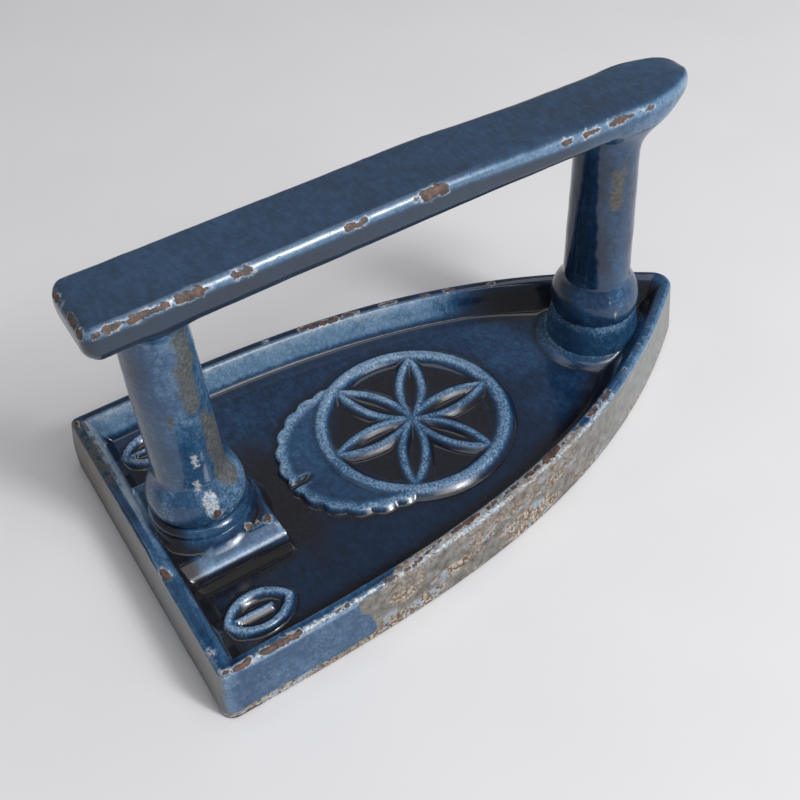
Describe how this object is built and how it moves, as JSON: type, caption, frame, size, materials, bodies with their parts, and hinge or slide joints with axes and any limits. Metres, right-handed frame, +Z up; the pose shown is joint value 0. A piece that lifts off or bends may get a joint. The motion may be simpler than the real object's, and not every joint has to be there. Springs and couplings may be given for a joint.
{
  "type": "clothes iron",
  "caption": "Stove-heated flat iron: blue enamelled cast-iron base with a rimmed deck, two round posts and a flat bar grip.",
  "frame": {"origin": "on the sole, at mid length and mid width", "axes": "+X towards the nose, +Y towards the iron's left side, +Z up from the sole to the grip"},
  "size_m": [0.165, 0.0936, 0.0857],
  "materials": {
    "base_enamel": "gloss",
    "post_enamel": "gloss",
    "grip_enamel": "satin",
    "wrought_iron": "satin"
  },
  "bodies": {
    "root": {"base_casting": "base_enamel", "rear_post": "post_enamel", "front_post": "post_enamel", "grip_bar": "grip_enamel", "rear_stud": "wrought_iron", "front_stud": "wrought_iron", "rear_grip_pin": "wrought_iron", "front_grip_pin": "wrought_iron"}
  },
  "joints": []
}
